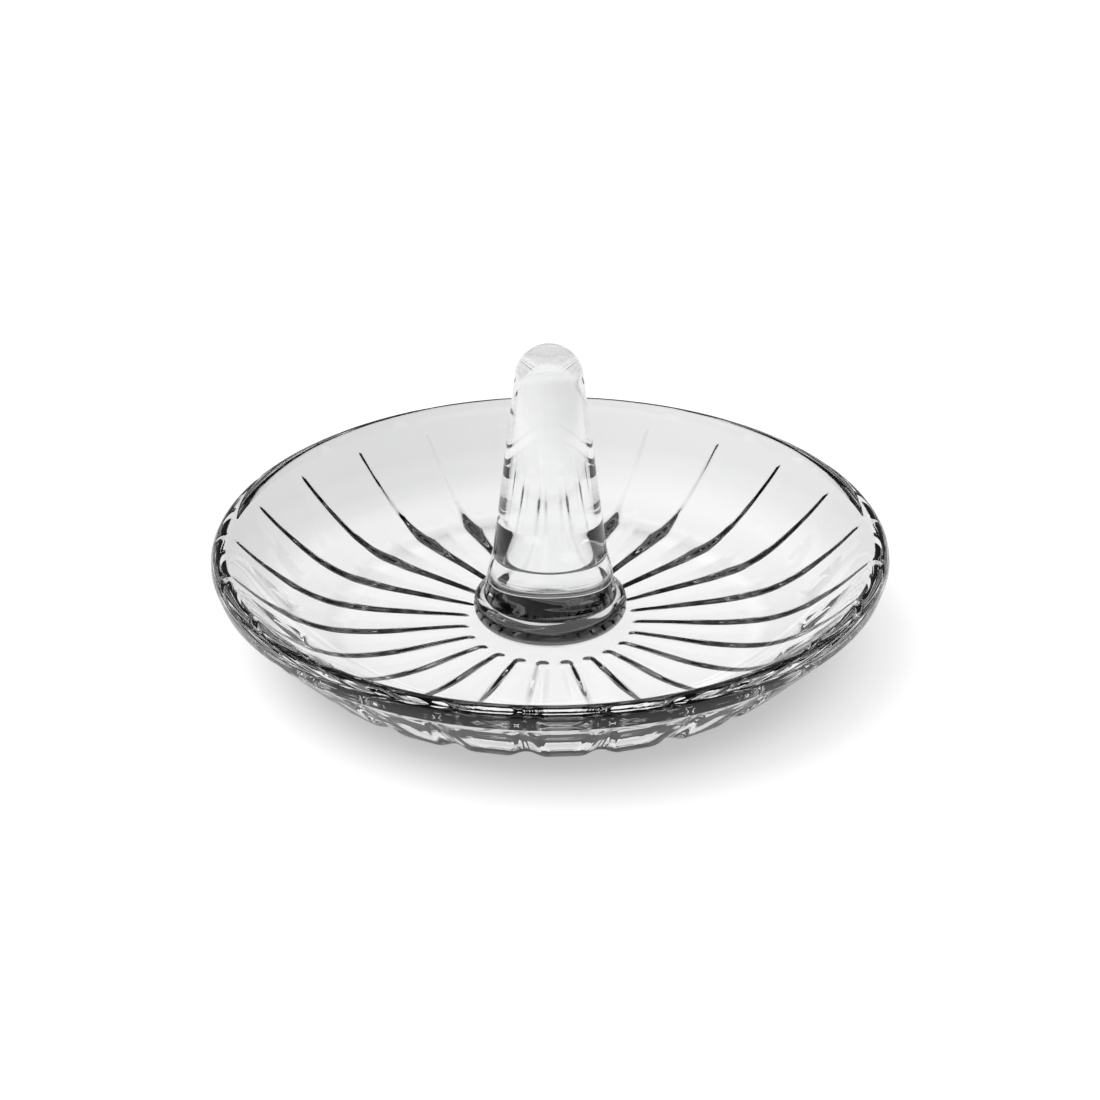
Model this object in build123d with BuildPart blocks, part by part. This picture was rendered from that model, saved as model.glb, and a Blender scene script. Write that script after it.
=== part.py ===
from build123d import *
import math
import os

# Ring dish of clear pressed glass: a round shallow dish with raised panels outside,
# a solid tapered post for rings in its middle, and the film of adhesive that holds them together.
# The dish stands on the plane z = 0, and its axis is the Z axis.

# Dish: rim and bowl
dish_radius = 65.0
lip_radius = 2.0
bowl_rim_angle = 47.2
floor_thickness = 4.5
floor_radius = 30.7
bowl_side_length = 4.34

# Dish: outside, from the band under the rim down to the base. The rim stands out over the base,
# which turns up in a heel, and that turns up again in a shoulder, where the wall begins.
rim_overhang = 23.5
heel_width = 8.5
heel_rise = 2.3
shoulder_width = 2.2
shoulder_rise = 1.75
band_height = 2.2
band_taper = 0.7
ledge_width = 2.2
ledge_drop = 2.0

# Grooves between the raised panels, from just outside the post's foot to just under the band
groove_count = 24
groove_start_gap = 0.6
groove_start_half_width = 1.1
groove_start_depth = 0.35
groove_heel_half_width = 2.7
groove_heel_depth = 1.2
groove_top_half_width = 1.1
groove_top_depth = 0.45
groove_top_gap = 0.6
arc_steps = 3
cut_overrun = 0.5

# Ring post: the foot stands out from the body by the cove, a narrow flat and its rounded top edge.
# The body draws in up to its waist, in a line that swells a little, and from there more slowly up
# to the dome.
body_base_radius = 12.8
body_cove_radius = 0.2
foot_flat_width = 0.05
foot_top_round = 1.7
foot_side_height = 0.9
foot_low_round = 2.5
waist_inset = 1.9
waist_rise = 9.45
base_swell_angle = 2.0
dome_radius = 6.5
tip_height = 57.15

# Seat of the post in the dish, and the adhesive between them
seat_depth = 0.4
seat_clearance = 0.15
bond_thickness = 0.15

# Bowl: a flat floor that turns up in one arc, goes straight on and meets the round lip in line
rim_sine = math.sin(math.radians(bowl_rim_angle))
rim_cosine = math.cos(math.radians(bowl_rim_angle))
bowl_edge_radius = dish_radius - lip_radius * (1 + rim_sine)
bowl_arc_end_radius = bowl_edge_radius - bowl_side_length * rim_cosine
bowl_arc_radius = (bowl_arc_end_radius - floor_radius) / rim_sine
bowl_arc_end_height = floor_thickness + bowl_arc_radius * (1 - rim_cosine)
bowl_edge_height = bowl_arc_end_height + bowl_side_length * rim_sine
lip_centre_height = bowl_edge_height - lip_radius * rim_cosine
lip_centre = (dish_radius - lip_radius, lip_centre_height)
bowl_centre = (floor_radius, floor_thickness + bowl_arc_radius)
lip_end_angle = 90 + bowl_rim_angle

band_foot_radius = dish_radius - band_taper
band_foot_height = lip_centre_height - band_height
wall_top_radius = band_foot_radius - ledge_width
wall_top_height = band_foot_height - ledge_drop

foot_radius = body_base_radius + body_cove_radius + foot_flat_width + foot_top_round
foot_height = foot_low_round + foot_side_height + foot_top_round

base_radius = dish_radius - rim_overhang
heel_radius = base_radius + heel_width
shoulder_radius = heel_radius + shoulder_width
shoulder_height = heel_rise + shoulder_rise
groove_start_radius = foot_radius + groove_start_gap

# The foot's rounded edge is wider by foot_swell where it comes out of the seat than at its base
seat_height = floor_thickness - seat_depth
post_base_height = seat_height + bond_thickness
foot_depth = floor_thickness - post_base_height
foot_swell = math.sqrt(foot_low_round**2 - (foot_low_round - foot_depth) ** 2)
bond_radius = foot_radius - foot_low_round
seat_radius = bond_radius + foot_swell + seat_clearance

# Post: below the waist the side of the body leaves the foot a little steeper than the straight
# line to the waist, and above the waist it is the line that touches the dome
foot_top_height = post_base_height + foot_height
waist_radius = body_base_radius - waist_inset
waist_height = foot_top_height + waist_rise
base_lean = math.atan2(waist_rise, -waist_inset) - math.radians(base_swell_angle)
post_tip_height = post_base_height + tip_height
dome_centre_height = post_tip_height - dome_radius
waist_to_dome = math.hypot(waist_radius, dome_centre_height - waist_height)
waist_to_dome_angle = math.degrees(math.atan2(waist_radius, dome_centre_height - waist_height))
body_taper = waist_to_dome_angle - math.degrees(math.asin(dome_radius / waist_to_dome))
dome_centre = (0, dome_centre_height)


def on_circle(centre, radius, angle):
    """The point of the circle at this angle in degrees, measured up from the horizontal."""
    turn = math.radians(angle)
    return (centre[0] + radius * math.cos(turn), centre[1] + radius * math.sin(turn))


def tangent_arc_stations(start, start_angle, end, steps):
    """Points and headings along the arc that leaves start at start_angle and reaches end."""
    chord = math.hypot(end[0] - start[0], end[1] - start[1])
    chord_angle = math.atan2(end[1] - start[1], end[0] - start[0])
    half_turn = chord_angle - start_angle
    radius = chord / (2 * math.sin(half_turn))
    stations = []
    for step in range(1, steps + 1):
        turn = 2 * half_turn * step / steps
        across = 2 * radius * math.sin(turn / 2)
        direction = start_angle + turn / 2
        point = (start[0] + across * math.cos(direction), start[1] + across * math.sin(direction))
        stations.append((point, start_angle + turn))
    return stations


def blend(low, high, share):
    """The value that lies share of the way from low to high."""
    return low + (high - low) * share


# Line of the grooves: along the flat base, round the heel and the shoulder, and up the wall
base_stations = [((groove_start_radius, 0), 0), ((base_radius, 0), 0)]
heel_stations = tangent_arc_stations((base_radius, 0), 0, (heel_radius, heel_rise), arc_steps)
shoulder_stations = tangent_arc_stations(
    (heel_radius, heel_rise),
    heel_stations[-1][1],
    (shoulder_radius, shoulder_height),
    arc_steps,
)
wall_angle = math.atan2(wall_top_height - shoulder_height, wall_top_radius - shoulder_radius)
groove_top = (
    wall_top_radius - groove_top_gap * math.cos(wall_angle),
    wall_top_height - groove_top_gap * math.sin(wall_angle),
)
groove_stations = []
for point, heading in base_stations + heel_stations:
    share = (point[0] - groove_start_radius) / (heel_radius - groove_start_radius)
    half_width = blend(groove_start_half_width, groove_heel_half_width, share)
    depth = blend(groove_start_depth, groove_heel_depth, share)
    groove_stations.append((point, heading, half_width, depth))
for point, heading in shoulder_stations + [(groove_top, wall_angle)]:
    share = (point[0] - heel_radius) / (groove_top[0] - heel_radius)
    half_width = blend(groove_heel_half_width, groove_top_half_width, share)
    depth = blend(groove_heel_depth, groove_top_depth, share)
    groove_stations.append((point, heading, half_width, depth))


# One groove, as the solid that is cut away: round segments carried along its line
with BuildPart() as groove:
    for point, heading, half_width, depth in groove_stations:
        section_plane = Plane(
            origin=(point[0], 0, point[1]),
            x_dir=(0, 1, 0),
            z_dir=(math.cos(heading), 0, math.sin(heading)),
        )
        round_radius = (half_width**2 + depth**2) / (2 * depth)
        mouth_half_width = math.sqrt(round_radius**2 - (round_radius - depth - cut_overrun) ** 2)
        with BuildSketch(section_plane):
            with BuildLine():
                ThreePointArc(
                    (-mouth_half_width, -cut_overrun),
                    (0, depth),
                    (mouth_half_width, -cut_overrun),
                )
                Line((mouth_half_width, -cut_overrun), (-mouth_half_width, -cut_overrun))
            make_face()
    loft(ruled=True)


# Dish
with BuildPart() as dish:
    with BuildSketch(Plane.XZ):
        with BuildLine():
            Line((0, 0), (base_radius, 0))
            heel = TangentArc((base_radius, 0), (heel_radius, heel_rise), tangent=(1, 0))
            TangentArc(heel @ 1, (shoulder_radius, shoulder_height), tangent=heel % 1)
            Line((shoulder_radius, shoulder_height), (wall_top_radius, wall_top_height))
            Line((wall_top_radius, wall_top_height), (band_foot_radius, band_foot_height))
            Line((band_foot_radius, band_foot_height), (dish_radius, lip_centre_height))
            ThreePointArc(
                (dish_radius, lip_centre_height),
                on_circle(lip_centre, lip_radius, lip_end_angle / 2),
                (bowl_edge_radius, bowl_edge_height),
            )
            Line((bowl_edge_radius, bowl_edge_height), (bowl_arc_end_radius, bowl_arc_end_height))
            ThreePointArc(
                (bowl_arc_end_radius, bowl_arc_end_height),
                on_circle(bowl_centre, bowl_arc_radius, bowl_rim_angle / 2 - 90),
                (floor_radius, floor_thickness),
            )
            Line((floor_radius, floor_thickness), (seat_radius, floor_thickness))
            Line((seat_radius, floor_thickness), (seat_radius, seat_height))
            Line((seat_radius, seat_height), (0, seat_height))
            Line((0, seat_height), (0, 0))
        make_face()
    revolve(axis=Axis.Z)
    with PolarLocations(0, groove_count, start_angle=180 / groove_count):
        add(groove.part, mode=Mode.SUBTRACT)
dish.part.label = "dish"


# Ring post: a rounded foot, a body that tapers to a waist and on to a domed tip, solid right through
with BuildPart() as ring_post:
    with BuildSketch(Plane.XZ):
        with BuildLine():
            Line((0, post_base_height), (foot_radius, post_base_height))
            Line((foot_radius, post_base_height), (foot_radius, foot_top_height))
            Line((foot_radius, foot_top_height), (body_base_radius, foot_top_height))
            TangentArc(
                (body_base_radius, foot_top_height),
                (waist_radius, waist_height),
                tangent=(math.cos(base_lean), math.sin(base_lean)),
            )
            Line((waist_radius, waist_height), on_circle(dome_centre, dome_radius, body_taper))
            ThreePointArc(
                on_circle(dome_centre, dome_radius, body_taper),
                on_circle(dome_centre, dome_radius, (90 + body_taper) / 2),
                (0, post_tip_height),
            )
            Line((0, post_tip_height), (0, post_base_height))
        outline = make_face()
        foot_corners = outline.vertices().sort_by(Axis.X)[-2:].sort_by(Axis.Z)
        body_corner = outline.vertices().sort_by(Axis.X)[-3]
        fillet(foot_corners[0], radius=foot_low_round)
        fillet(foot_corners[1], radius=foot_top_round)
        fillet(body_corner, radius=body_cove_radius)
    revolve(axis=Axis.Z)
ring_post.part.label = "ring_post"


# Adhesive: a thin disc between the floor of the seat and the flat of the foot
with BuildPart() as bond_film:
    with BuildSketch(Plane.XY.offset(seat_height)):
        Circle(bond_radius)
    extrude(amount=bond_thickness)
bond_film.part.label = "bond_film"


os.makedirs("parts", exist_ok=True)
export_step(dish.part, "parts/dish.step")
export_step(ring_post.part, "parts/ring_post.step")
export_step(bond_film.part, "parts/bond_film.step")
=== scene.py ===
"""Ring dish of clear pressed glass, dressed for a studio picture.

Every piece is a surface of turns: an outline in the plane of radius and height is carried round
the Z axis, and the dish's outside is then drawn in along the grooves between its panels.
Lengths are in metres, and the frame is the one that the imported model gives.
"""

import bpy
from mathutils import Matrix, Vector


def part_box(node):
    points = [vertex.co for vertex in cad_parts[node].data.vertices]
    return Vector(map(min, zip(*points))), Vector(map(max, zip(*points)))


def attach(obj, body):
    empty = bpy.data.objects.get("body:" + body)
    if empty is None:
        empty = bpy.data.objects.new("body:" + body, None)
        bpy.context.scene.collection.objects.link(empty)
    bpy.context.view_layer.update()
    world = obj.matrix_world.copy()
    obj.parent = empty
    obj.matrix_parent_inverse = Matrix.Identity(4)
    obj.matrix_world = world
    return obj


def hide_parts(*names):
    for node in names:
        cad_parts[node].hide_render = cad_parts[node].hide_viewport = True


bl_info = {
    "name": "Pressed Glass Ring Dish",
    "version": (1, 0, 0),
    "blender": (4, 5, 0),
    "location": "View3D > Sidebar > Ring Dish",
    "description": "Builds a pressed-glass ring dish, its post and a plain studio round them",
    "category": "Object",
}

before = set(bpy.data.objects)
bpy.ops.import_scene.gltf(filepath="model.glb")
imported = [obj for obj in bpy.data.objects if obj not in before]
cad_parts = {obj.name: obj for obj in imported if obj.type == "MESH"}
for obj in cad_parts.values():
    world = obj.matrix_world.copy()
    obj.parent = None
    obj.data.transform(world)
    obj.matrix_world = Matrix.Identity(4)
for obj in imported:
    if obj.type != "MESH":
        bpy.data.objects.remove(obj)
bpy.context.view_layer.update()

import math

import bpy
import numpy as np
from bpy.props import FloatProperty, FloatVectorProperty, IntProperty, PointerProperty
from mathutils import Quaternion, Vector

MM = 0.001
BODY = "root"

dish_low, dish_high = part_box("dish")
post_low, post_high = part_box("ring_post")
film_low, film_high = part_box("bond_film")

# The picture that the camera matches: its width, the sensor's width in millimetres, the pixel of
# the rim's middle, the scale there, and how far under the rim's top its middle lies
PHOTO_PIXELS = 1100
SENSOR_WIDTH = 36.0
RIM_PIXEL = (550.0, 546.8)
RIM_PIXELS_PER_METRE = 5208.0
RIM_MIDDLE_DEPTH = 1.5 * MM

# The ground is a square that lies this much under the base
GROUND_HALF_WIDTH = 3.0
GROUND_DEPTH = 0.1 * MM

# Mesh: columns of a panel and how much closer they stand near its grooves, columns of the post,
# rows that the adhesive wets, the first ring round a pole as a share of the flat's radius, and the
# last ring of the dome in degrees above its middle
COLUMNS_PER_PANEL = 24
COLUMN_POWER = 1.15
COLUMNS_PER_TURN = 192
BONDED_ROWS = 3
POLE_SHARE = 0.125
LAST_DOME_ANGLE = 88.0

# Points along each stretch of the outlines, both ends included, in the order of the outline
DISH_POINTS = {
    "seat": 3,
    "seat side": 2,
    "seat round": 4,
    "floor": 7,
    "bowl arc": 28,
    "bowl side": 6,
    "lip": 15,
    "band": 3,
    "band round": 5,
    "ledge": 3,
    "ledge round": 5,
    "wall": 20,
    "shoulder": 7,
    "heel": 10,
    "base": 13,
    "under grooves": 14,
    "under middle": 24,
}
POST_POINTS = {
    "low round": 14,
    "foot side": 2,
    "top round": 10,
    "foot flat": 2,
    "cove": 6,
    "base": 14,
    "waist": 4,
    "body": 36,
    "dome": 20,
}
FILM_SIDE_POINTS = 2

# Rounds of the small corners, how far outside the wall's top the panels begin to fade, and the
# power of the distance with which the grooves widen
SEAT_ROUND = 0.15 * MM
BAND_ROUND = 0.3 * MM
WAIST_ROUND = 0.5 * MM
FADE_START = 0.6 * MM
WIDTH_POWER = 0.6

# Radii of the underside where its rows change their spacing, and where its waves fade, and the
# height under which a point of the outline is on the flat base
UNDER_GROOVES = 20.0 * MM
UNDER_MIDDLE = 14.0 * MM
UNDER_FOOT = 9.0 * MM
UNDER_POLE = 0.7 * MM
FLAT_TOLERANCE = 0.01 * MM

# Waves of the underside's middle: their height, and for each wave its radians per metre in two
# directions, with the first one's shift and the push that the second gets from the first
WAVE_HEIGHT = 0.55 * MM
FIRST_WAVE = (0.42 / MM, 0.25 / MM, 1.0)
SECOND_WAVE = (0.55 / MM, 0.18 / MM, 0.6)

# The glass's skin and the adhesive: scale and detail of their noise, height of the skin's waves,
# share of the tint where the skin is dullest, and the roughness that the smears' range stands for
SKIN_NOISE = (90.0, 1.0)
SMEAR_NOISE = (40.0, 4.0)
BOND_NOISE = (300.0, 2.0)
SKIN_HEIGHT = 0.03 * MM
TINT_SHARE = 0.985
SMEAR_ROUGHNESS = (0.35, 0.75, 0.0, 0.012)
BOND_TINTS = ((0.99, 0.99, 0.99, 1.0), (0.96, 0.96, 0.96, 1.0))

# What the glass lets through to matt surfaces: the radius where the ramp ends, and pairs of
# radius and level
SHADE_REACH = 0.08
SHADE = ((0.0, 0.97), (0.041, 0.95), (0.044, 0.48), (0.05, 0.5), (0.056, 0.7), (0.066, 0.88))

# Painted glow of the ground seen through the glass: painted light that stands in for the light
# that the bowl gathers under itself, with painted shade where it dips under the wall. The radius
# where the ramps end, pairs of radius and level on the left and on the right, and half the width
# over which the two blend
PAINTED_GLOW_REACH = 0.15
LEFT_PAINTED_GLOW = (
    (0.0, 0.6),
    (0.038, 0.62),
    (0.046, 0.83),
    (0.05, 0.79),
    (0.054, 0.71),
    (0.06, 0.5),
    (0.066, 0.37),
    (0.078, 0.3),
    (0.1, 0.3),
)
RIGHT_PAINTED_GLOW = (
    (0.0, 0.62),
    (0.038, 0.66),
    (0.046, 0.86),
    (0.05, 0.84),
    (0.055, 0.82),
    (0.062, 0.7),
    (0.07, 0.54),
    (0.08, 0.43),
    (0.1, 0.43),
)
PAINTED_GLOW_BLEND = 0.04

# The ground besides: its roughness, the share of its colour that shows through the glass, the
# painted shade that lessens its glow towards the front, for the shade under the front wall, and how
# it whitens for the camera far from the axis. A range gives the ends of the distance and then the
# two levels.
GROUND_ROUGHNESS = 0.9
THROUGH_SHARE = 0.5
FRONT_PAINTED_SHADE = (-0.07, -0.03, 0.25, 1.0)
CAMERA_GLOW = (0.3, 1.2, 0.22, 0.5)

# The room that the glass sees on its left and on its right, and the soft light on matt surfaces,
# in pairs of degrees above the horizon and level. The blend is half the width over which left
# turns to right, as the sine of the angle to the side.
LEFT_SURROUND = ((0.0, 0.42), (10.0, 0.25), (25.0, 0.15), (50.0, 0.11), (90.0, 0.1))
RIGHT_SURROUND = ((0.0, 0.32), (8.0, 0.18), (20.0, 0.12), (60.0, 0.09), (90.0, 0.09))
SURROUND_BLEND = 0.5
SOFT_LIGHT = ((0.0, 0.3), (20.0, 0.42), (50.0, 0.6), (70.0, 0.64), (90.0, 0.64))
WHITE = (1.0, 1.0, 1.0, 1.0)


# Sizes and colours that a user would change


class RINGDISH_PG_dish(bpy.types.PropertyGroup):
    """Sizes of the dish's outline"""

    radius: FloatProperty(
        name="Radius",
        description="Radius of the widest circle of the rim",
        default=dish_high[0],
        unit="LENGTH",
    )
    lip_radius: FloatProperty(
        name="Lip Radius",
        description="Radius of the round edge of the rim",
        default=2.0 * MM,
        unit="LENGTH",
    )
    rim_angle: FloatProperty(
        name="Rim Angle",
        description="Slope of the bowl where it meets the lip",
        default=math.radians(47.2),
        subtype="ANGLE",
    )
    floor_thickness: FloatProperty(
        name="Floor Thickness",
        description="Thickness of the glass under the bowl's floor",
        default=4.5 * MM,
        unit="LENGTH",
    )
    floor_radius: FloatProperty(
        name="Floor Radius",
        description="Radius of the flat floor, where the bowl begins to rise",
        default=30.7 * MM,
        unit="LENGTH",
    )
    bowl_side: FloatProperty(
        name="Bowl Side",
        description="Length of the bowl's straight side, between its arc and the lip",
        default=4.34 * MM,
        unit="LENGTH",
    )
    rim_overhang: FloatProperty(
        name="Rim Overhang",
        description="How far the rim stands out over the flat base",
        default=23.5 * MM,
        unit="LENGTH",
    )
    heel_width: FloatProperty(
        name="Heel Width",
        description="How far the heel stands out from the base",
        default=8.5 * MM,
        unit="LENGTH",
    )
    heel_rise: FloatProperty(
        name="Heel Rise",
        description="How far the heel turns up from the base",
        default=2.3 * MM,
        unit="LENGTH",
    )
    shoulder_width: FloatProperty(
        name="Shoulder Width",
        description="How far the shoulder stands out from the heel",
        default=2.2 * MM,
        unit="LENGTH",
    )
    shoulder_rise: FloatProperty(
        name="Shoulder Rise",
        description="How far the shoulder turns up from the heel to the straight wall",
        default=1.75 * MM,
        unit="LENGTH",
    )
    band_height: FloatProperty(
        name="Band Height",
        description="Height of the plain band under the lip",
        default=2.2 * MM,
        unit="LENGTH",
    )
    band_taper: FloatProperty(
        name="Band Taper",
        description="How far the band draws in towards its foot",
        default=0.7 * MM,
        unit="LENGTH",
    )
    ledge_width: FloatProperty(
        name="Ledge Width",
        description="How far the band stands out over the wall",
        default=2.2 * MM,
        unit="LENGTH",
    )
    ledge_drop: FloatProperty(
        name="Ledge Drop",
        description="How far the ledge falls from the band to the wall",
        default=2.0 * MM,
        unit="LENGTH",
    )


class RINGDISH_PG_grooves(bpy.types.PropertyGroup):
    """Number and sizes of the grooves between the panels"""

    count: IntProperty(
        name="Count",
        description="Number of grooves, and of panels between them",
        default=24,
        min=3,
    )
    start_radius: FloatProperty(
        name="Start Radius",
        description="Radius of the grooves' round inner ends",
        default=15.35 * MM,
        unit="LENGTH",
    )
    start_half_width: FloatProperty(
        name="Start Half Width",
        description="Half the width of a groove, shoulders included, at its inner end",
        default=1.5 * MM,
        unit="LENGTH",
    )
    start_depth: FloatProperty(
        name="Start Depth",
        description="Depth of a groove at its inner end",
        default=0.32 * MM,
        unit="LENGTH",
    )
    heel_half_width: FloatProperty(
        name="Heel Half Width",
        description="Half the width of a groove, shoulders included, at the heel",
        default=3.8 * MM,
        unit="LENGTH",
    )
    heel_depth: FloatProperty(
        name="Heel Depth",
        description="Depth of a groove at the heel",
        default=1.1 * MM,
        unit="LENGTH",
    )
    top_half_width: FloatProperty(
        name="Top Half Width",
        description="Half the width of a groove, shoulders included, under the band",
        default=1.5 * MM,
        unit="LENGTH",
    )
    top_depth: FloatProperty(
        name="Top Depth",
        description="Depth of a groove under the band",
        default=0.7 * MM,
        unit="LENGTH",
    )


class RINGDISH_PG_post(bpy.types.PropertyGroup):
    """Sizes of the ring post and of its seat"""

    foot_radius: FloatProperty(
        name="Foot Radius",
        description="Radius of the round foot",
        default=post_high[0],
        unit="LENGTH",
    )
    foot_low_round: FloatProperty(
        name="Foot Low Round",
        description="Radius of the foot's rounded lower edge",
        default=post_high[0] - film_high[0],
        unit="LENGTH",
    )
    foot_side: FloatProperty(
        name="Foot Side",
        description="Height of the foot's side between its two rounded edges",
        default=0.9 * MM,
        unit="LENGTH",
    )
    foot_top_round: FloatProperty(
        name="Foot Top Round",
        description="Radius of the foot's rounded upper edge",
        default=1.7 * MM,
        unit="LENGTH",
    )
    body_radius: FloatProperty(
        name="Body Radius",
        description="Radius of the tapered body where it stands on the foot",
        default=12.8 * MM,
        unit="LENGTH",
    )
    cove_radius: FloatProperty(
        name="Cove Radius",
        description="Radius of the hollow between the foot and the body",
        default=0.2 * MM,
        unit="LENGTH",
    )
    waist_inset: FloatProperty(
        name="Waist Inset",
        description="How far the body draws in from its base to its waist",
        default=1.9 * MM,
        unit="LENGTH",
    )
    waist_rise: FloatProperty(
        name="Waist Rise",
        description="Height of the waist over the top of the foot",
        default=9.45 * MM,
        unit="LENGTH",
    )
    base_swell: FloatProperty(
        name="Base Swell",
        description="Angle between the body's side at its base and a straight line up to the waist",
        default=math.radians(2.0),
        subtype="ANGLE",
    )
    dome_radius: FloatProperty(
        name="Dome Radius",
        description="Radius of the domed tip",
        default=6.5 * MM,
        unit="LENGTH",
    )
    seat_clearance: FloatProperty(
        name="Seat Clearance",
        description="Gap round the foot in its seat in the dish",
        default=0.15 * MM,
        unit="LENGTH",
    )


class RINGDISH_PG_glass(bpy.types.PropertyGroup):
    """What the glass is like"""

    colour: FloatVectorProperty(
        name="Colour",
        description="What the clear glass lets through",
        default=(0.985, 0.988, 0.988),
        subtype="COLOR",
        min=0.0,
        max=1.0,
    )
    refraction: FloatProperty(
        name="Refraction",
        description="Index of refraction of the glass",
        default=1.52,
        min=1.0,
    )


class RINGDISH_PG_studio(bpy.types.PropertyGroup):
    """Camera, lamp and ground"""

    elevation: FloatProperty(
        name="Camera Elevation",
        description="Angle of the camera above the ground",
        default=math.radians(28.0),
        subtype="ANGLE",
    )
    azimuth: FloatProperty(
        name="Camera Azimuth",
        description="Turn of the camera from the front panel's middle",
        default=math.radians(-2.5),
        subtype="ANGLE",
    )
    roll: FloatProperty(
        name="Camera Roll",
        description="Turn of the camera about its own line of sight",
        default=math.radians(-0.3),
        subtype="ANGLE",
    )
    distance: FloatProperty(
        name="Camera Distance",
        description="Distance from the camera to the middle of the rim",
        default=0.70,
        unit="LENGTH",
    )
    lamp_place: FloatVectorProperty(
        name="Lamp Place",
        description="Middle of the round softbox, which faces the dish",
        default=(-0.28, -0.02, 0.76),
        subtype="TRANSLATION",
        unit="LENGTH",
    )
    lamp_size: FloatProperty(
        name="Lamp Size",
        description="Width of the round softbox",
        default=0.62,
        unit="LENGTH",
    )
    lamp_power: FloatProperty(
        name="Lamp Power",
        description="Power of the softbox in watts",
        default=4.2,
        min=0.0,
    )
    floor_colour: FloatVectorProperty(
        name="Floor Colour",
        description="Colour of the pale ground",
        default=(0.9, 0.9, 0.9),
        subtype="COLOR",
        min=0.0,
        max=1.0,
    )


# Outlines in the plane of radius and height


def on_circle(centre, radius, degrees):
    """Points of a circle at these angles, which are measured up from the horizontal."""
    turn = np.radians(degrees)
    return np.stack([centre[0] + radius * np.cos(turn), centre[1] + radius * np.sin(turn)], -1)


def arc(centre, radius, start, end, count):
    """Points along a circle from one angle to another, both ends included."""
    return on_circle(centre, radius, np.linspace(start, end, count))


def line(start, end, count):
    """Points along a straight line, both ends included."""
    share = np.linspace(0.0, 1.0, count)[:, None]
    return np.asarray(start) * (1.0 - share) + np.asarray(end) * share


def tangent_arc(start, heading, end, count):
    """Points and last heading of the arc that leaves start along heading and reaches end.

    The arc turns by twice the angle between its heading and its chord.
    """
    start, end = np.asarray(start), np.asarray(end)
    across = end - start
    half_turn = math.atan2(across[1], across[0]) - heading
    radius = np.hypot(*across) / (2.0 * math.sin(half_turn))
    turns = np.linspace(0.0, 2.0 * half_turn, count)
    chords = 2.0 * radius * np.sin(turns / 2.0)
    directions = heading + turns / 2.0
    points = start + chords[:, None] * np.stack([np.cos(directions), np.sin(directions)], -1)
    return points, heading + 2.0 * half_turn


def rounded(points, radius, count):
    """The corner at the middle of three points, as an arc of this radius that touches both sides."""
    before, corner, after = (np.asarray(point) for point in points)
    into = (corner - before) / np.hypot(*(corner - before))
    out = (after - corner) / np.hypot(*(after - corner))
    turn = math.atan2(into[0] * out[1] - into[1] * out[0], float(into @ out))
    reach = radius * math.tan(abs(turn) / 2.0)
    heading = math.atan2(into[1], into[0])
    return tangent_arc(corner - into * reach, heading, corner + out * reach, count)[0]


def joined(parts):
    """One outline from several that meet end to end, with each shared point kept once."""
    return np.concatenate([parts[0]] + [part[1:] for part in parts[1:]])


def outward(outline):
    """Unit normals of an outline that runs with the glass on its right."""
    along = np.gradient(outline, axis=0)
    along = along / np.linalg.norm(along, axis=1)[:, None]
    return np.stack([-along[:, 1], along[:, 0]], -1)


def smooth_step(low, high, value):
    """Nought below low, one above high, and an S-shaped rise between them."""
    share = np.clip((value - low) / (high - low), 0.0, 1.0)
    return share * share * (3.0 - 2.0 * share)


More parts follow.
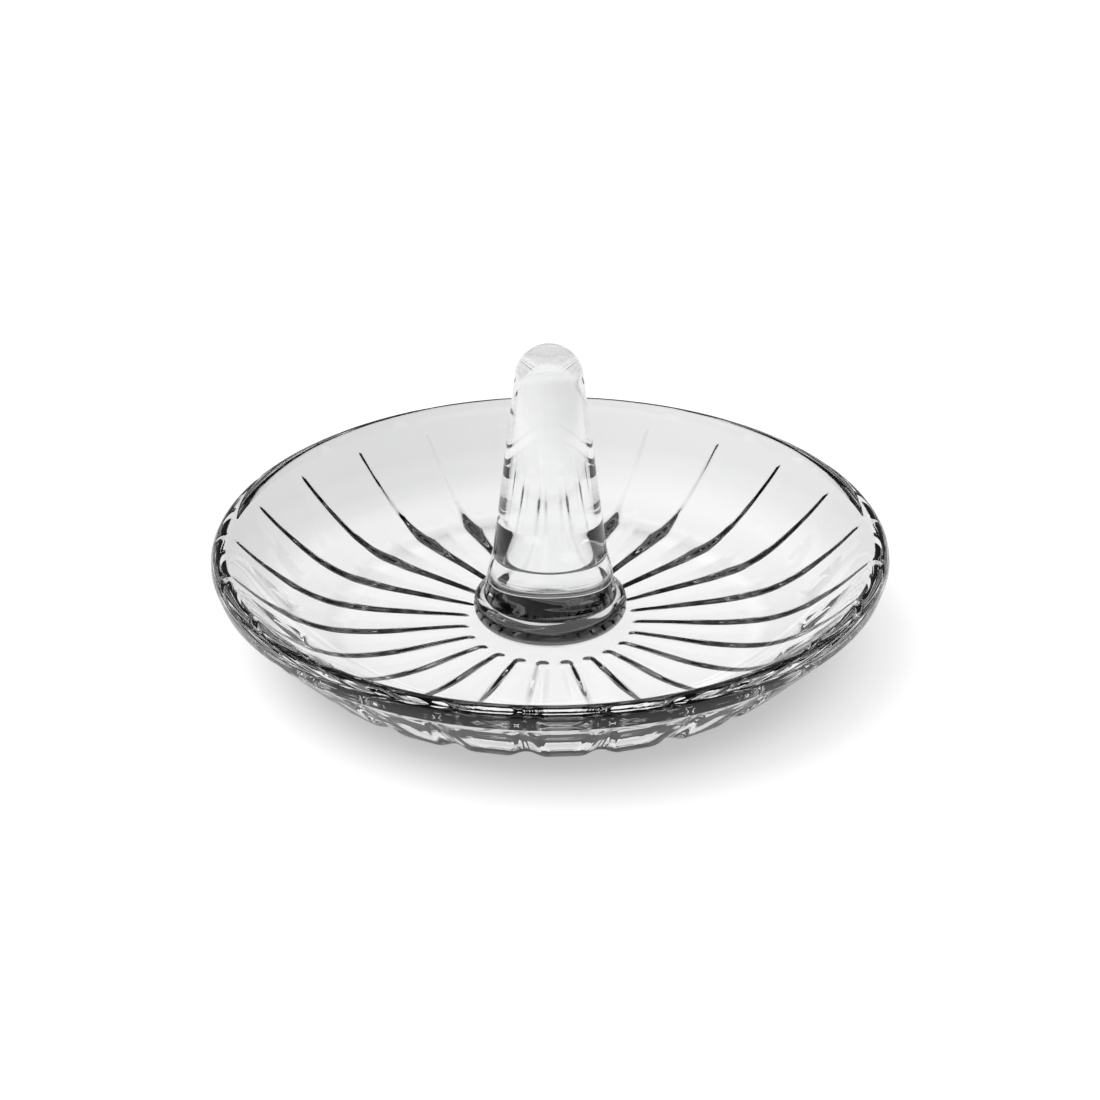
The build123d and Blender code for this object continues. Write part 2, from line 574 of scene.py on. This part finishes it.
def dish_outline(size, seat_radius, seat_height, bond_radius):
    """The dish's outline, from the middle of the seat over the rim to the middle of the base.

    Gives the points, the row where the outside begins and the point at the top of the wall.
    The bowl leaves the floor level in one arc, and goes straight on to meet the round lip. From
    the lip a band falls to a slanting ledge, and from there the wall runs straight to the shoulder
    and the heel, two arcs that follow on from each other and end level at the base.
    """
    sine, cosine = math.sin(size.rim_angle), math.cos(size.rim_angle)
    slope = math.degrees(size.rim_angle)
    bowl_edge = size.radius - size.lip_radius * (1.0 + sine)
    arc_end_radius = bowl_edge - size.bowl_side * cosine
    bowl_radius = (arc_end_radius - size.floor_radius) / sine
    arc_end = (arc_end_radius, size.floor_thickness + bowl_radius * (1.0 - cosine))
    edge_height = arc_end[1] + size.bowl_side * sine
    lip_height = edge_height - size.lip_radius * cosine
    lip_centre = (size.radius - size.lip_radius, lip_height)
    bowl_centre = (size.floor_radius, size.floor_thickness + bowl_radius)
    seat_corner = (seat_radius, seat_height)
    seat_edge = (seat_radius, size.floor_thickness)
    floor_edge = (size.floor_radius, size.floor_thickness)
    widest = (size.radius, lip_height)
    band_foot = (size.radius - size.band_taper, lip_height - size.band_height)
    wall_top = (band_foot[0] - size.ledge_width, band_foot[1] - size.ledge_drop)
    base = (size.radius - size.rim_overhang, 0.0)
    heel = (base[0] + size.heel_width, size.heel_rise)
    shoulder = (heel[0] + size.shoulder_width, heel[1] + size.shoulder_rise)

    count = DISH_POINTS
    seat_round = rounded((seat_corner, seat_edge, floor_edge), SEAT_ROUND, count["seat round"])
    seat = [
        line((bond_radius * POLE_SHARE, seat_height), (bond_radius, seat_height), BONDED_ROWS),
        line((bond_radius, seat_height), seat_corner, count["seat"]),
        line(seat_corner, seat_round[0], count["seat side"]),
        seat_round,
    ]
    floor = [line(seat_round[-1], floor_edge, count["floor"])]
    bowl = [
        arc(bowl_centre, bowl_radius, -90.0, slope - 90.0, count["bowl arc"]),
        line(arc_end, (bowl_edge, edge_height), count["bowl side"]),
    ]
    lip = [arc(lip_centre, size.lip_radius, 90.0 + slope, 0.0, count["lip"])]
    band_round = rounded((widest, band_foot, wall_top), BAND_ROUND, count["band round"])
    ledge_round = rounded((band_foot, wall_top, shoulder), BAND_ROUND, count["ledge round"])
    band = [
        line(widest, band_round[0], count["band"]),
        band_round,
        line(band_round[-1], ledge_round[0], count["ledge"]),
    ]
    heel_arc, heel_heading = tangent_arc(base, 0.0, heel, count["heel"])
    shoulder_arc, _ = tangent_arc(heel, heel_heading, shoulder, count["shoulder"])
    wall = [
        ledge_round,
        line(ledge_round[-1], shoulder, count["wall"]),
        shoulder_arc[::-1],
        heel_arc[::-1],
    ]
    under = [
        line(base, (UNDER_GROOVES, 0.0), count["base"]),
        line((UNDER_GROOVES, 0.0), (UNDER_MIDDLE, 0.0), count["under grooves"]),
        line((UNDER_MIDDLE, 0.0), (UNDER_POLE, 0.0), count["under middle"]),
    ]
    upper = joined(seat + floor + bowl + lip + band)
    outline = joined([upper] + wall + under)
    return outline, len(upper) - 1, wall_top


def post_outline(size, low, high):
    """The post's outline from the middle of its base up to its tip.

    The foot has a rounded edge below and above, and a small hollow where the body stands on it.
    The side of the body swells a little in one arc up to the waist, and above the waist it is the
    straight line that touches the dome.
    """
    foot_top = low + size.foot_low_round + size.foot_side + size.foot_top_round
    waist = (size.body_radius - size.waist_inset, foot_top + size.waist_rise)
    dome_centre = (0.0, high - size.dome_radius)
    rise = dome_centre[1] - waist[1]
    taper = math.atan2(waist[0], rise) - math.asin(size.dome_radius / math.hypot(waist[0], rise))
    slope = math.degrees(taper)
    corners = [
        (0.0, low),
        (size.foot_radius, low),
        (size.foot_radius, foot_top),
        (size.body_radius, foot_top),
        waist,
        tuple(on_circle(dome_centre, size.dome_radius, slope)),
    ]
    count = POST_POINTS
    low_round = rounded(corners[0:3], size.foot_low_round, count["low round"])
    top_round = rounded(corners[1:4], size.foot_top_round, count["top round"])
    cove = rounded(corners[2:5], size.cove_radius, count["cove"])
    ridge = rounded(corners[3:6], WAIST_ROUND, count["waist"])
    chord = math.atan2(ridge[0][1] - cove[-1][1], ridge[0][0] - cove[-1][0])
    base, _ = tangent_arc(cove[-1], chord - size.base_swell, ridge[0], count["base"])
    return joined(
        [
            line((low_round[0][0] * POLE_SHARE, low), low_round[0], BONDED_ROWS),
            low_round,
            line(low_round[-1], top_round[0], count["foot side"]),
            top_round,
            line(top_round[-1], cove[0], count["foot flat"]),
            cove,
            base,
            ridge,
            line(ridge[-1], corners[5], count["body"]),
            arc(dome_centre, size.dome_radius, slope, LAST_DOME_ANGLE, count["dome"]),
        ]
    )


# Meshes


def surface_of_turns(name, rings, low_pole, high_pole, bonded_rows=0):
    """A closed mesh from rings of points, with a pole at the start and one at the end.

    rings is an array of rows by columns by three. Each row is joined to the next by quads, the last
    column to the first, and the first and last rows to their poles by triangles. The bands of faces
    next to the first pole take the second material, as many of them as bonded_rows says.
    """
    rows, columns, _ = rings.shape
    vertices = np.concatenate([rings.reshape(-1, 3), [low_pole, high_pole]])
    here = np.arange(columns)
    after = np.roll(here, -1)
    starts = (np.arange(rows - 1) * columns)[:, None]
    quads = np.stack(
        [starts + here, starts + columns + here, starts + columns + after, starts + after], -1
    ).reshape(-1, 4)
    low = np.full(columns, rows * columns)
    last = (rows - 1) * columns
    first_fan = np.stack([low, here, after], -1)
    last_fan = np.stack([last + here, low + 1, last + after], -1)
    mesh = bpy.data.meshes.new(name)
    mesh.from_pydata(vertices.tolist(), [], first_fan.tolist() + quads.tolist() + last_fan.tolist())
    mesh.shade_smooth()
    bands = (np.arange(rows + 1) < bonded_rows).astype(np.int32)
    mesh.polygons.foreach_set("material_index", np.repeat(bands, columns))
    mesh.validate()
    mesh.update()
    piece = bpy.data.objects.new(name, mesh)
    bpy.context.scene.collection.objects.link(piece)
    return piece


def turned(outline):
    """Rings of points: each point of an outline that runs upwards, carried round the Z axis."""
    turn = np.linspace(0.0, 2.0 * np.pi, COLUMNS_PER_TURN, endpoint=False)
    radius, height = outline[:, 0][:, None], outline[:, 1][:, None]
    rings = [radius * np.cos(turn), radius * np.sin(turn), height + np.zeros(COLUMNS_PER_TURN)]
    return np.stack(rings, -1)[:, ::-1]


def grooved_rings(outline, first_row, wall_top, size, grooves):
    """Rings of the dish, flat across each panel and drawn in along the grooves between them.

    Round the axis the outside is a polygon with one side to a panel: the outline is that of the
    panels' middles, and towards the grooves the radius grows as one over the cosine of the angle.
    A groove is a bell: its depth falls from the middle to the shoulders as one plus the cosine of
    the distance from its line, over two. The depth is taken along the outline's normal. Its width
    and depth grow from the inner end to the heel, and lessen from there up to the wall's top. On
    the ledge both the flats and the grooves fade away. The columns stand closer near the grooves.
    """
    pitch = 2.0 * np.pi / grooves.count
    share = np.arange(COLUMNS_PER_PANEL) / COLUMNS_PER_PANEL - 0.5
    panel_offset = np.sign(share) * (2.0 * np.abs(share)) ** COLUMN_POWER / 2.0 * pitch
    groove_turns = pitch * (np.arange(grooves.count) + 0.5)
    turn = (groove_turns[:, None] + panel_offset[None, :]).ravel()
    offset = np.tile(panel_offset, grooves.count)

    radius, height = outline[:, 0], outline[:, 1]
    normal = outward(outline)
    on_outside = np.arange(len(outline)) >= first_row
    fade = smooth_step(wall_top[0] + FADE_START, wall_top[0] + size.ledge_width, radius)
    strength = on_outside * (1.0 - fade)

    heel = size.radius - size.rim_overhang + size.heel_width
    outer_share = np.clip((radius - heel) / (wall_top[0] - heel), 0.0, 1.0)
    inner_share = np.clip((radius - grooves.start_radius) / (heel - grooves.start_radius), 0.0, 1.0)
    half_width = grooves.start_half_width + inner_share**WIDTH_POWER * (
        grooves.heel_half_width - grooves.start_half_width
    )
    half_width = half_width + outer_share * (grooves.top_half_width - grooves.heel_half_width)
    depth = grooves.start_depth + inner_share * (grooves.heel_depth - grooves.start_depth)
    depth = depth + outer_share * (grooves.top_depth - grooves.heel_depth)

    facet = 1.0 / np.cos(np.abs(np.abs(offset) - pitch / 2.0)) - 1.0
    wide = radius[:, None] * (1.0 + facet[None, :] * strength[:, None])
    along = np.clip(grooves.start_radius + half_width - radius, 0.0, None)
    across = wide * np.sin(offset)[None, :]
    distance = np.hypot(across, along[:, None]) / half_width[:, None]
    bell = 0.5 + 0.5 * np.cos(np.pi * np.clip(distance, 0.0, 1.0))
    sink = (depth * strength)[:, None] * bell
    wide = wide - sink * normal[:, 0][:, None]
    high = height[:, None] - sink * normal[:, 1][:, None]
    rings = np.stack([wide * np.cos(turn), wide * np.sin(turn), high], -1)
    on_base = on_outside * (height < FLAT_TOLERANCE)
    under_post = on_base * (1.0 - smooth_step(UNDER_FOOT, UNDER_MIDDLE, radius))
    rings[:, :, 2] += under_post[:, None] * uneven(rings[:, :, 0], rings[:, :, 1])
    return rings


def uneven(across, along):
    """Height of the wavy middle of the underside.

    Two sines cross each other, and the first one pushes the second to and fro. The height goes by
    the square of half of one plus their product.
    """
    first = np.sin(FIRST_WAVE[0] * across + FIRST_WAVE[1] * along + FIRST_WAVE[2])
    second = np.sin(SECOND_WAVE[0] * along - SECOND_WAVE[1] * across + SECOND_WAVE[2] * first)
    return WAVE_HEIGHT * (0.5 + 0.5 * first * second) ** 2


# Material nodes


def add_node(tree, kind, **values):
    """A new node, with these attributes set."""
    node = tree.nodes.new(kind)
    for key, value in values.items():
        setattr(node, key, value)
    return node


def feed(tree, socket, value):
    """Links another node's output to this input, or sets the input to a constant."""
    if isinstance(value, bpy.types.NodeSocket):
        tree.links.new(value, socket)
    else:
        socket.default_value = value


def worked_out(tree, operation, *terms):
    """The result of this operation on sockets and numbers."""
    node = add_node(tree, "ShaderNodeMath", operation=operation)
    for socket, term in zip(node.inputs, terms):
        feed(tree, socket, term)
    return node.outputs[0]


def mapped(tree, value, limits, interpolation="SMOOTHSTEP"):
    """A value carried from one range to another: the ends of the first, then of the second."""
    node = add_node(tree, "ShaderNodeMapRange", interpolation_type=interpolation)
    for socket, limit in zip(("From Min", "From Max", "To Min", "To Max"), limits):
        node.inputs[socket].default_value = limit
    tree.links.new(value, node.inputs["Value"])
    return node.outputs["Result"]


def mixed_colour(tree, share, first, second):
    """The second colour where share is one, and the first where it is nought."""
    mix = add_node(tree, "ShaderNodeMix", data_type="RGBA")
    for socket, value in zip((mix.inputs[0], mix.inputs[6], mix.inputs[7]), (share, first, second)):
        feed(tree, socket, value)
    return mix.outputs[2]


def grey_ramp(tree, value, stops):
    """Grey levels along a value from nought to one, from pairs of place and level."""
    ramp = add_node(tree, "ShaderNodeValToRGB")
    elements = ramp.color_ramp.elements
    for element, (at, level) in zip((elements[0], elements[1]), (stops[0], stops[-1])):
        element.position = at
        element.color = (level, level, level, 1.0)
    for at, level in stops[1:-1]:
        elements.new(at).color = (level, level, level, 1.0)
    tree.links.new(value, ramp.inputs["Fac"])
    return ramp.outputs["Color"]


def by_height(tree, height, stops):
    """Grey levels by angle above the horizon, from the sine of that angle."""
    sines = [(math.sin(math.radians(angle)), level) for angle, level in stops]
    return grey_ramp(tree, height, sines)


def by_radius(tree, radius, reach, stops):
    """Grey levels by distance from the Z axis, up to this reach."""
    share = worked_out(tree, "DIVIDE", radius, reach)
    return grey_ramp(tree, share, [(at / reach, level) for at, level in stops])


def radius_of(tree, place):
    """Distance from the Z axis, from Object coordinates."""
    level = add_node(tree, "ShaderNodeVectorMath", operation="MULTIPLY")
    level.inputs[1].default_value = (1.0, 1.0, 0.0)
    length = add_node(tree, "ShaderNodeVectorMath", operation="LENGTH")
    tree.links.new(place, level.inputs[0])
    tree.links.new(level.outputs[0], length.inputs[0])
    return length.outputs["Value"]


def noise(tree, place, scale, detail):
    """Soft noise at this place, with about this many waves a metre and finer ones by detail."""
    node = add_node(tree, "ShaderNodeTexNoise")
    node.inputs["Scale"].default_value = scale
    node.inputs["Detail"].default_value = detail
    tree.links.new(place, node.inputs["Vector"])
    return node.outputs["Fac"]


def separated(tree, place):
    """The three parts of a vector, by name."""
    split = add_node(tree, "ShaderNodeSeparateXYZ")
    tree.links.new(place, split.inputs[0])
    return split.outputs


def new_material(name):
    """A new material and its nodes."""
    material = bpy.data.materials.new(name)
    material.use_nodes = True
    return material, material.node_tree


# Materials


def clear_glass(name, glass):
    """Clear pressed glass: sharp refraction, and a fire-polished skin that is faintly uneven.

    To shadow rays, and to rays that leave a matt surface, it is a plain filter. The filter's grey
    goes by the distance from the axis, and gives the ground its soft shadow.
    """
    material, tree = new_material(name)
    shader = tree.nodes["Principled BSDF"]
    shader.inputs["IOR"].default_value = glass.refraction
    shader.inputs["Transmission Weight"].default_value = 1.0
    place = add_node(tree, "ShaderNodeTexCoord").outputs["Object"]
    waves = noise(tree, place, *SKIN_NOISE)
    bump = add_node(tree, "ShaderNodeBump")
    bump.inputs["Distance"].default_value = SKIN_HEIGHT
    tree.links.new(waves, bump.inputs["Height"])
    tree.links.new(bump.outputs["Normal"], shader.inputs["Normal"])
    duller = [channel * TINT_SHARE for channel in glass.colour]
    tint = mixed_colour(tree, waves, (*glass.colour, 1.0), (*duller, 1.0))
    tree.links.new(tint, shader.inputs["Base Color"])
    smears = noise(tree, place, *SMEAR_NOISE)
    polish = mapped(tree, smears, SMEAR_ROUGHNESS, "LINEAR")
    tree.links.new(polish, shader.inputs["Roughness"])

    through = add_node(tree, "ShaderNodeBsdfTransparent")
    shade = by_radius(tree, radius_of(tree, place), SHADE_REACH, SHADE)
    tree.links.new(shade, through.inputs["Color"])
    path = add_node(tree, "ShaderNodeLightPath").outputs
    matt_light = worked_out(tree, "MAXIMUM", path["Is Shadow Ray"], path["Is Diffuse Ray"])
    mix = add_node(tree, "ShaderNodeMixShader")
    for socket, value in zip(mix.inputs, (matt_light, shader.outputs[0], through.outputs[0])):
        tree.links.new(value, socket)
    tree.links.new(mix.outputs[0], tree.nodes["Material Output"].inputs["Surface"])
    return material


def bonded_glass(name):
    """Glass where the clear adhesive wets it: light goes straight through, with a trace of tint."""
    material, tree = new_material(name)
    tree.nodes.remove(tree.nodes["Principled BSDF"])
    place = add_node(tree, "ShaderNodeTexCoord").outputs["Object"]
    through = add_node(tree, "ShaderNodeBsdfTransparent")
    tint = mixed_colour(tree, noise(tree, place, *BOND_NOISE), *BOND_TINTS)
    tree.links.new(tint, through.inputs["Color"])
    tree.links.new(through.outputs[0], tree.nodes["Material Output"].inputs["Surface"])
    return material


def pale_floor(name, studio):
    """Matt pale ground that takes the soft shadow, and shows white round the object.

    Through the glass its colour is darker, and it has a painted glow by the distance from the
    axis: painted light that stands in for the light which the bowl gathers under itself, with
    painted shade where the glow dips under the wall. The painted glow is one ramp on the left and
    another on the right, and painted shade lessens it towards the front. To the camera the ground
    has a little glow of its own, which grows with the distance until the ground meets the white
    behind it.
    """
    material, tree = new_material(name)
    shader = tree.nodes["Principled BSDF"]
    shader.inputs["Roughness"].default_value = GROUND_ROUGHNESS
    shader.inputs["Specular IOR Level"].default_value = 0.0
    shader.inputs["Emission Color"].default_value = WHITE
    place = add_node(tree, "ShaderNodeTexCoord").outputs["Object"]
    parts = separated(tree, place)
    radius = radius_of(tree, place)
    path = add_node(tree, "ShaderNodeLightPath").outputs
    darker = [channel * THROUGH_SHARE for channel in studio.floor_colour]
    colour = mixed_colour(
        tree, path["Is Transmission Ray"], (*studio.floor_colour, 1.0), (*darker, 1.0)
    )
    tree.links.new(colour, shader.inputs["Base Color"])

    # Painted light and shade of the ground seen through the glass: the glow, blended from the left
    # ramp to the right one
    side = mapped(tree, parts["X"], (-PAINTED_GLOW_BLEND, PAINTED_GLOW_BLEND, 0.0, 1.0))
    left, right = (by_radius(tree, radius, PAINTED_GLOW_REACH, stops) for stops in (LEFT_PAINTED_GLOW, RIGHT_PAINTED_GLOW))
    # Painted shade: the glow seen through the glass is dimmed towards the front, for the shade under
    # the front wall
    front = mapped(tree, parts["Y"], FRONT_PAINTED_SHADE)
    glow = worked_out(tree, "MULTIPLY", front, mixed_colour(tree, side, left, right))
    through = worked_out(tree, "MULTIPLY", path["Is Transmission Ray"], glow)
    white = mapped(tree, radius, CAMERA_GLOW, "LINEAR")
    seen = worked_out(tree, "MULTIPLY_ADD", path["Is Camera Ray"], white, through)
    tree.links.new(seen, shader.inputs["Emission Strength"])
    return material


def studio_world(name):
    """Soft light on matt surfaces, a dim room for the glass to draw, and white for the camera.

    The room is palest at the horizon, and a little paler on the left than on the right. The soft
    light is strongest overhead.
    """
    world = bpy.data.worlds.new(name)
    world.use_nodes = True
    world.cycles.sampling_method = "NONE"
    tree = world.node_tree
    parts = separated(tree, add_node(tree, "ShaderNodeTexCoord").outputs["Generated"])
    side = mapped(tree, parts["X"], (-SURROUND_BLEND, SURROUND_BLEND, 0.0, 1.0))
    left = by_height(tree, parts["Z"], LEFT_SURROUND)
    right = by_height(tree, parts["Z"], RIGHT_SURROUND)
    soft = by_height(tree, parts["Z"], SOFT_LIGHT)
    path = add_node(tree, "ShaderNodeLightPath").outputs
    after_matt = worked_out(tree, "GREATER_THAN", path["Diffuse Depth"], 0.5)
    lit = mixed_colour(tree, after_matt, mixed_colour(tree, side, left, right), soft)
    seen = mixed_colour(tree, path["Is Camera Ray"], lit, WHITE)
    tree.links.new(seen, tree.nodes["Background"].inputs["Color"])
    return world


# Operators


class RINGDISH_OT_add_dish(bpy.types.Operator):
    """Add the pressed-glass dish with its panels and grooves"""

    bl_idname = "ringdish.add_dish"
    bl_label = "Add Dish"

    def execute(self, context):
        settings = context.scene
        post = settings.ring_dish_post
        size = settings.ring_dish_dish
        bond_radius = post.foot_radius - post.foot_low_round
        depth = size.floor_thickness - post_low[2]
        swell = math.sqrt(post.foot_low_round**2 - (post.foot_low_round - depth) ** 2)
        seat_radius = bond_radius + swell + post.seat_clearance
        outline, first_row, wall_top = dish_outline(size, seat_radius, film_low[2], bond_radius)
        rings = grooved_rings(outline, first_row, wall_top, size, settings.ring_dish_grooves)
        seat_middle = (0.0, 0.0, film_low[2])
        piece = surface_of_turns("pressed_dish", rings, seat_middle, (0.0, 0.0, 0.0), BONDED_ROWS)
        piece.data.materials.append(clear_glass("pressed clear glass", settings.ring_dish_glass))
        piece.data.materials.append(bonded_glass("glass under the adhesive"))
        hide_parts("dish")
        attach(piece, BODY)
        return {"FINISHED"}


class RINGDISH_OT_add_post(bpy.types.Operator):
    """Add the solid tapered post with its foot and domed tip"""

    bl_idname = "ringdish.add_post"
    bl_label = "Add Ring Post"

    def execute(self, context):
        settings = context.scene
        low, high = post_low[2], post_high[2]
        rings = turned(post_outline(settings.ring_dish_post, low, high))
        piece = surface_of_turns("glass_post", rings, (0.0, 0.0, low), (0.0, 0.0, high), BONDED_ROWS)
        piece.data.materials.append(clear_glass("post clear glass", settings.ring_dish_glass))
        piece.data.materials.append(bonded_glass("post glass on the adhesive"))
        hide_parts("ring_post")
        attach(piece, BODY)
        return {"FINISHED"}


class RINGDISH_OT_add_film(bpy.types.Operator):
    """Add the clear adhesive between the post and the dish"""

    bl_idname = "ringdish.add_film"
    bl_label = "Add Adhesive"

    def execute(self, context):
        radius = film_high[0]
        low, high = film_low[2], film_high[2]
        outline = joined(
            [
                line((radius * POLE_SHARE, low), (radius, low), BONDED_ROWS),
                line((radius, low), (radius, high), FILM_SIDE_POINTS),
                line((radius, high), (radius * POLE_SHARE, high), BONDED_ROWS),
            ]
        )
        piece = surface_of_turns("adhesive_film", turned(outline), (0.0, 0.0, low), (0.0, 0.0, high))
        piece.data.materials.append(bonded_glass("clear cured adhesive"))
        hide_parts("bond_film")
        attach(piece, BODY)
        return {"FINISHED"}


class RINGDISH_OT_add_studio(bpy.types.Operator):
    """Add the pale ground, the soft light and the camera"""

    bl_idname = "ringdish.add_studio"
    bl_label = "Add Studio"

    def execute(self, context):
        scene = context.scene
        studio = scene.ring_dish_studio
        mesh = bpy.data.meshes.new("ground")
        sides = ((-1.0, -1.0), (1.0, -1.0), (1.0, 1.0), (-1.0, 1.0))
        corners = [(x * GROUND_HALF_WIDTH, y * GROUND_HALF_WIDTH, -GROUND_DEPTH) for x, y in sides]
        mesh.from_pydata(corners, [], [(0, 1, 2, 3)])
        ground = bpy.data.objects.new("ground", mesh)
        scene.collection.objects.link(ground)
        mesh.materials.append(pale_floor("pale matt ground", studio))
        scene.world = studio_world("soft studio")

        lamp = bpy.data.lights.new("softbox", "AREA")
        lamp.shape = "DISK"
        lamp.size = studio.lamp_size
        lamp.energy = studio.lamp_power
        softbox = bpy.data.objects.new("softbox", lamp)
        softbox.location = studio.lamp_place
        softbox.rotation_euler = (-Vector(softbox.location)).to_track_quat("-Z", "Y").to_euler()
        softbox.visible_glossy = False
        softbox.visible_transmission = False
        scene.collection.objects.link(softbox)

        add_camera(scene, studio)
        scene.view_settings.view_transform = "Standard"
        return {"FINISHED"}


def add_camera(scene, studio):
    """The camera looks at the rim's middle, and a small shift puts it where the picture has it."""
    target = Vector((0.0, 0.0, dish_high[2] - RIM_MIDDLE_DEPTH))
    level = math.cos(studio.elevation)
    back = Vector(
        (
            level * math.sin(studio.azimuth),
            -level * math.cos(studio.azimuth),
            math.sin(studio.elevation),
        )
    )
    data = bpy.data.cameras.new("camera")
    data.sensor_width = SENSOR_WIDTH
    data.lens = SENSOR_WIDTH * studio.distance * RIM_PIXELS_PER_METRE / PHOTO_PIXELS
    data.shift_x = (PHOTO_PIXELS / 2 - RIM_PIXEL[0]) / PHOTO_PIXELS
    data.shift_y = (RIM_PIXEL[1] - PHOTO_PIXELS / 2) / PHOTO_PIXELS
    camera = bpy.data.objects.new("camera", data)
    camera.location = target + back * studio.distance
    facing = (-back).to_track_quat("-Z", "Y")
    camera.rotation_euler = (facing @ Quaternion((0.0, 0.0, 1.0), studio.roll)).to_euler()
    scene.collection.objects.link(camera)
    scene.camera = camera


class RINGDISH_PT_panel(bpy.types.Panel):
    """Lists the sizes and the steps that build the ring dish"""

    bl_idname = "RINGDISH_PT_panel"
    bl_label = "Ring Dish"
    bl_space_type = "VIEW_3D"
    bl_region_type = "UI"
    bl_category = "Ring Dish"

    def draw(self, context):
        layout = self.layout
        for settings in GROUPS:
            group = getattr(context.scene, settings)
            box = layout.box()
            for name in group.__annotations__:
                box.prop(group, name)
        for operator in OPERATORS:
            layout.operator(operator.bl_idname)


GROUPS = {
    "ring_dish_dish": RINGDISH_PG_dish,
    "ring_dish_grooves": RINGDISH_PG_grooves,
    "ring_dish_post": RINGDISH_PG_post,
    "ring_dish_glass": RINGDISH_PG_glass,
    "ring_dish_studio": RINGDISH_PG_studio,
}
OPERATORS = (
    RINGDISH_OT_add_dish,
    RINGDISH_OT_add_post,
    RINGDISH_OT_add_film,
    RINGDISH_OT_add_studio,
)


def register():
    """Adds the classes, and gives every scene its settings."""
    for group in GROUPS.values():
        bpy.utils.register_class(group)
    for operator in OPERATORS:
        bpy.utils.register_class(operator)
    bpy.utils.register_class(RINGDISH_PT_panel)
    for name, group in GROUPS.items():
        setattr(bpy.types.Scene, name, PointerProperty(type=group))


def unregister():
    """Takes the settings and the classes away again."""
    for name in GROUPS:
        delattr(bpy.types.Scene, name)
    bpy.utils.unregister_class(RINGDISH_PT_panel)
    for operator in reversed(OPERATORS):
        bpy.utils.unregister_class(operator)
    for group in reversed(GROUPS.values()):
        bpy.utils.unregister_class(group)


def main():
    """Registers the classes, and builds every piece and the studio."""
    register()
    bpy.ops.ringdish.add_dish()
    bpy.ops.ringdish.add_post()
    bpy.ops.ringdish.add_film()
    bpy.ops.ringdish.add_studio()


if __name__ == "__main__":
    main()
